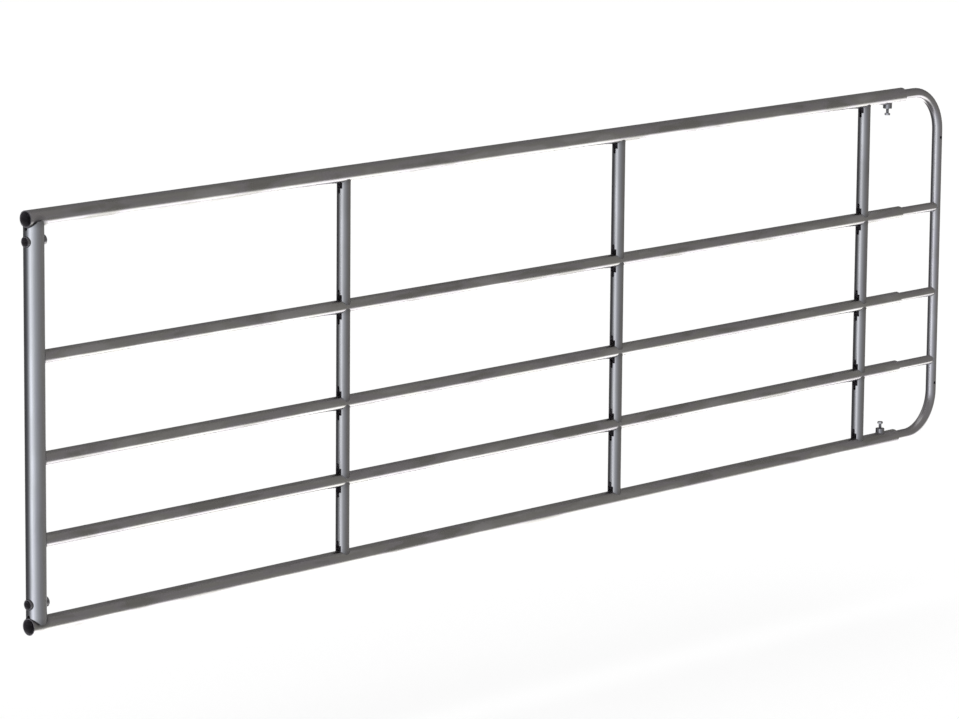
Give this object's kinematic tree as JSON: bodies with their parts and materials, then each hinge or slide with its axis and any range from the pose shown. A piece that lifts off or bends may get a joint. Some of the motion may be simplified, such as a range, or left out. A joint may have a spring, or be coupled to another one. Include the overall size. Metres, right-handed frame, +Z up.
{
  "type": "field gate",
  "caption": "Adjustable galvanised tubular field gate: welded rails and uprights, with a bent sliding end frame held by clamp screws and sleeves for hinge eye bolts.",
  "frame": {"origin": "middle of the lower hinge sleeve, on the axis of the hinge upright", "axes": "+X along the gate from the hinges to the latch end, +Y from the front to the back, +Z up"},
  "size_m": [3.3631, 0.0482, 0.9831],
  "materials": {
    "post_tube": "hot-dip galvanised, satin, with faint spangle",
    "hinge_sleeve": "hot-dip galvanised, satin, with faint spangle",
    "frame_tube": "hot-dip galvanised, satin, with faint spangle",
    "rail_tube": "hot-dip galvanised, satin, with faint spangle",
    "upright_tube": "hot-dip galvanised, satin, with faint spangle",
    "slide_tube": "hot-dip galvanised, satin, with faint spangle",
    "clamp_boss": "turned steel, galvanised",
    "clamp_screw": "bright zinc plated"
  },
  "bodies": {
    "gate_frame": {"hinge_upright": "post_tube", "lower_hinge_sleeve": "hinge_sleeve", "upper_hinge_sleeve": "hinge_sleeve", "bottom_rail": "frame_tube", "lower_rail": "rail_tube", "middle_rail": "rail_tube", "upper_rail": "rail_tube", "top_rail": "frame_tube", "upright_1_bottom_piece": "upright_tube", "upright_1_lower_piece": "upright_tube", "upright_1_upper_piece": "upright_tube", "upright_1_top_piece": "upright_tube", "upright_2_bottom_piece": "upright_tube", "upright_2_lower_piece": "upright_tube", "upright_2_upper_piece": "upright_tube", "upright_2_top_piece": "upright_tube", "upright_3_bottom_piece": "upright_tube", "upright_3_lower_piece": "upright_tube", "upright_3_upper_piece": "upright_tube", "upright_3_top_piece": "upright_tube", "top_clamp_boss": "clamp_boss", "bottom_clamp_boss": "clamp_boss"},
    "sliding_frame": {"sliding_bow": "slide_tube", "lower_sliding_bar": "slide_tube", "middle_sliding_bar": "slide_tube", "upper_sliding_bar": "slide_tube"},
    "top_screw": {"top_clamp_screw": "clamp_screw"},
    "bottom_screw": {"bottom_clamp_screw": "clamp_screw"}
  },
  "joints": [
    {"name": "frame_slide", "type": "slide", "parent": "gate_frame", "child": "sliding_frame", "axis": [1, 0, 0], "range_m": [-0.05, 0.85]},
    {"name": "top_screw_travel", "type": "slide", "parent": "gate_frame", "child": "top_screw", "axis": [0, 0, -1], "range_m": [0, 0.012]},
    {"name": "bottom_screw_travel", "type": "slide", "parent": "gate_frame", "child": "bottom_screw", "axis": [0, 0, 1], "range_m": [0, 0.012]}
  ]
}
